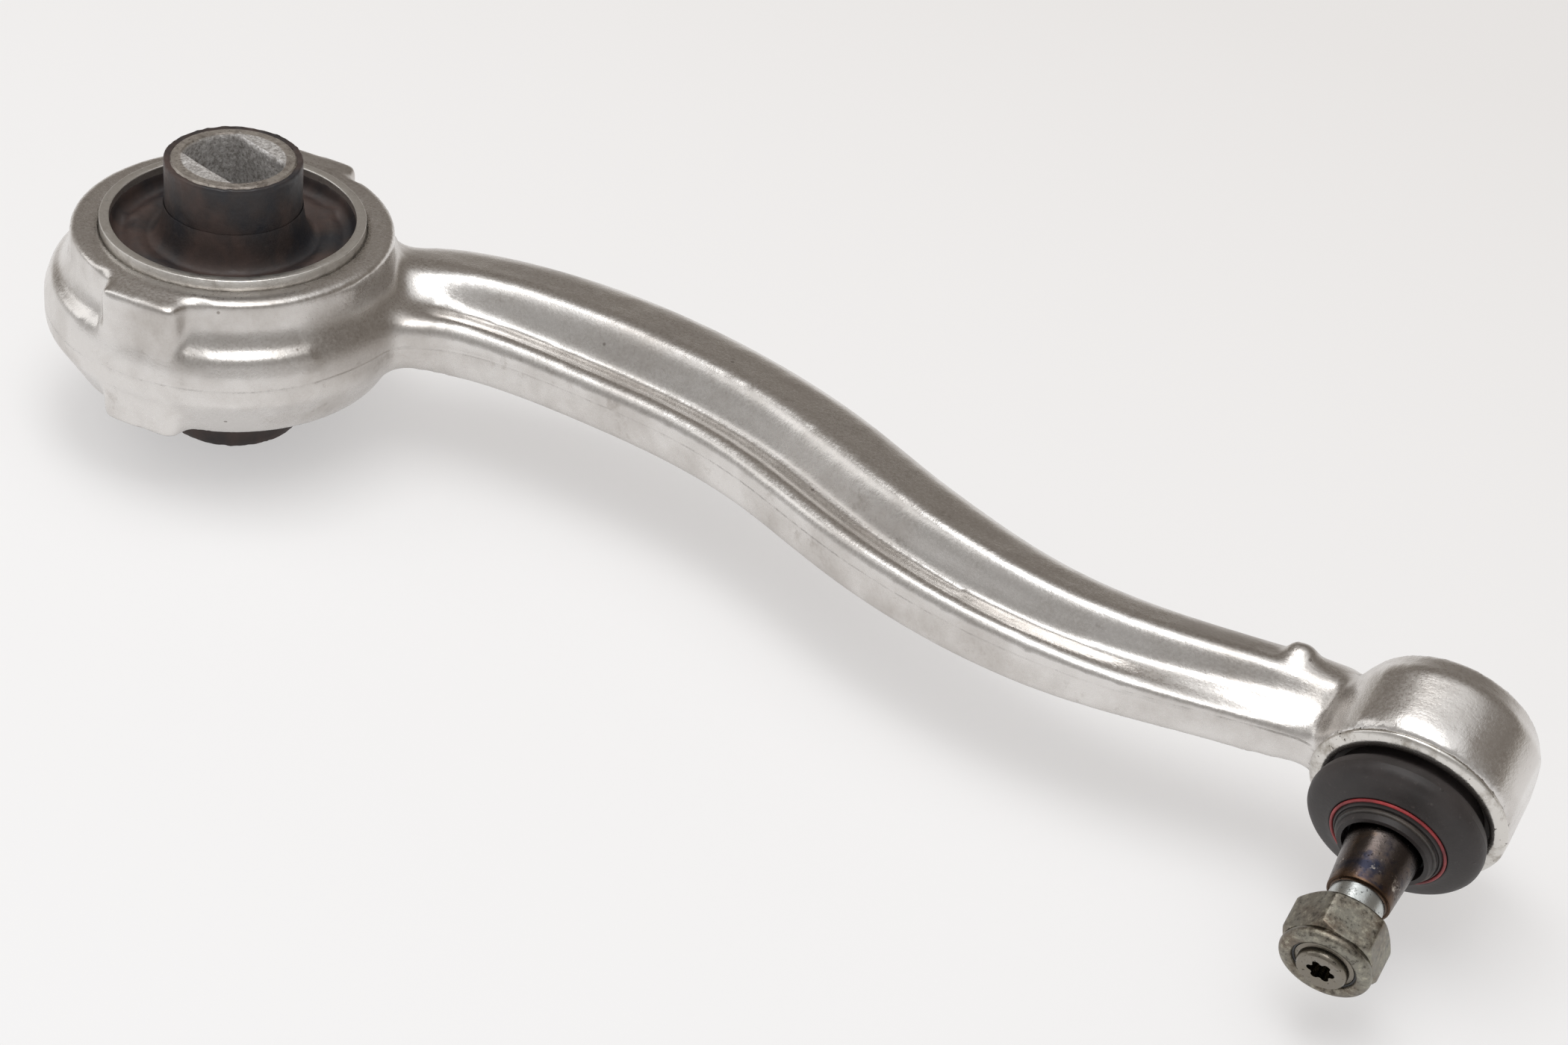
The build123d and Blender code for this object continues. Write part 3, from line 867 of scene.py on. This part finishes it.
for nodeName, material in {
    "window_cage": cageSteel,
    "channel_shell_front": blackPolyamide,
    "channel_shell_rear": blackPolyamide,
    "travel_stop_front": blackPolyamide,
    "travel_stop_rear": blackPolyamide,
    "bearing_shell": whiteAcetal,
    "preload_disc": cageSteel,
    "boot_large_clip": darkWire,
    "slip_ring": blackPolyamide,
}.items():
    node = frame["nodes"][nodeName]
    node.data.materials.clear()
    node.data.materials.append(material)

# Stage, light and camera
stageLook = {
    "floor": "#B9B9B9",
    "floorGlow": ("#BBBBBC", "#ACA9A7"),  # the light table's own light, near the camera and far from it
    "glowFrom": (-0.35, 0.45),  # metres along Y
    "floorHeight": -39.7,  # mm, under the inner sleeve
    "world": 1.0,
}


def makeFloor():
    bm = bmesh.new()
    bmesh.ops.create_grid(bm, x_segments=1, y_segments=1, size=6.0)
    bmesh.ops.translate(bm, verts=bm.verts, vec=(0, 0, stageLook["floorHeight"] * mm - 0.0002))
    mesh = bpy.data.meshes.new("floor")
    bm.to_mesh(mesh)
    bm.free()
    floor = linkObject("floor", mesh)
    # white paper on a light table, so that shadows stay faint
    material, tree, shader, place = newMaterial("paperFloor")
    shader.inputs["Base Color"].default_value = hexToLinear(stageLook["floor"])
    nearGlow, farGlow = stageLook["floorGlow"]
    glow = mixColor(tree, mapped(tree, axisOf(tree, place, "Y"), *stageLook["glowFrom"]), nearGlow, farGlow)
    tree.links.new(glow, shader.inputs["Emission Color"])
    shader.inputs["Emission Strength"].default_value = 1.0
    shader.inputs["Roughness"].default_value = 0.9
    floor.data.materials.append(material)


def areaLight(name, place, aim, size, power, color="#FFFFFF"):
    light = bpy.data.lights.new(name, "AREA")
    light.shape = "RECTANGLE"
    light.size, light.size_y = size
    light.energy = power
    light.color = hexToLinear(color)[:3]
    lamp = bpy.data.objects.new(name, light)
    bpy.context.scene.collection.objects.link(lamp)
    lamp.location = place
    lamp.rotation_mode = "QUATERNION"
    lamp.rotation_quaternion = (Vector(aim) - Vector(place)).to_track_quat("-Z", "Y")


def makeWorld():
    # a studio tent: bright low down and overhead, darker and warm part way up behind the object
    world = bpy.data.worlds.new("studio")
    bpy.context.scene.world = world
    world.use_nodes = True
    tree = world.node_tree
    tree.nodes.clear()
    direction = addNode(tree, "ShaderNodeTexCoord").outputs["Generated"]
    height = mapped(tree, axisOf(tree, direction, "Z"), -1, 1)
    behind = ramp(
        tree,
        height,
        [
            (0.50, hexToLinear("#E4E2E0")),
            (0.56, hexToLinear("#ACA69F")),
            (0.64, hexToLinear("#7B746D")),
            (0.88, hexToLinear("#908A84")),
            (0.96, hexToLinear("#FFFFFF")),
        ],
    )
    before = ramp(
        tree,
        height,
        [
            (0.50, hexToLinear("#DAD8D7")),
            (0.70, hexToLinear("#A9A7A5")),
            (0.88, hexToLinear("#BDBBB9")),
            (0.95, hexToLinear("#FFFFFF")),
        ],
    )
    side = mapped(tree, axisOf(tree, direction, "Y"), -0.25, 0.25)
    color = mixColor(tree, side, before, behind)
    background = addNode(tree, "ShaderNodeBackground", {"Strength": stageLook["world"]}, {"Color": color})
    addNode(tree, "ShaderNodeOutputWorld", None, {"Surface": background.outputs[0]})


makeFloor()
makeWorld()
areaLight("softboxTop", (0.10, -0.10, 1.2), (0.17, 0, 0), (1.1, 0.45), 5.0)
areaLight("softboxLeft", (-0.9, -0.2, 0.7), (0.1, 0, 0), (0.5, 0.9), 1.2)

cameraPlace = {
    "location": (434.0, -562.8, 420.3),  # mm
    "turn": 24.96,
    "tilt": 34.37,
    "roll": 7.19,
    "lens": 68.57,
}
cameraData = bpy.data.cameras.new("camera")
cameraData.lens = cameraPlace["lens"]
cameraData.sensor_width = 36
cameraData.clip_start = 0.01
camera = bpy.data.objects.new("camera", cameraData)
bpy.context.scene.collection.objects.link(camera)
camera.matrix_world = (
    Matrix.Translation(Vector(cameraPlace["location"]) * mm)
    @ Matrix.Rotation(math.radians(cameraPlace["turn"]), 4, "Z")
    @ Matrix.Rotation(math.radians(90 - cameraPlace["tilt"]), 4, "X")
    @ Matrix.Rotation(math.radians(cameraPlace["roll"]), 4, "Z")
)
bpy.context.scene.camera = camera
bpy.context.scene.view_settings.view_transform = "Standard"
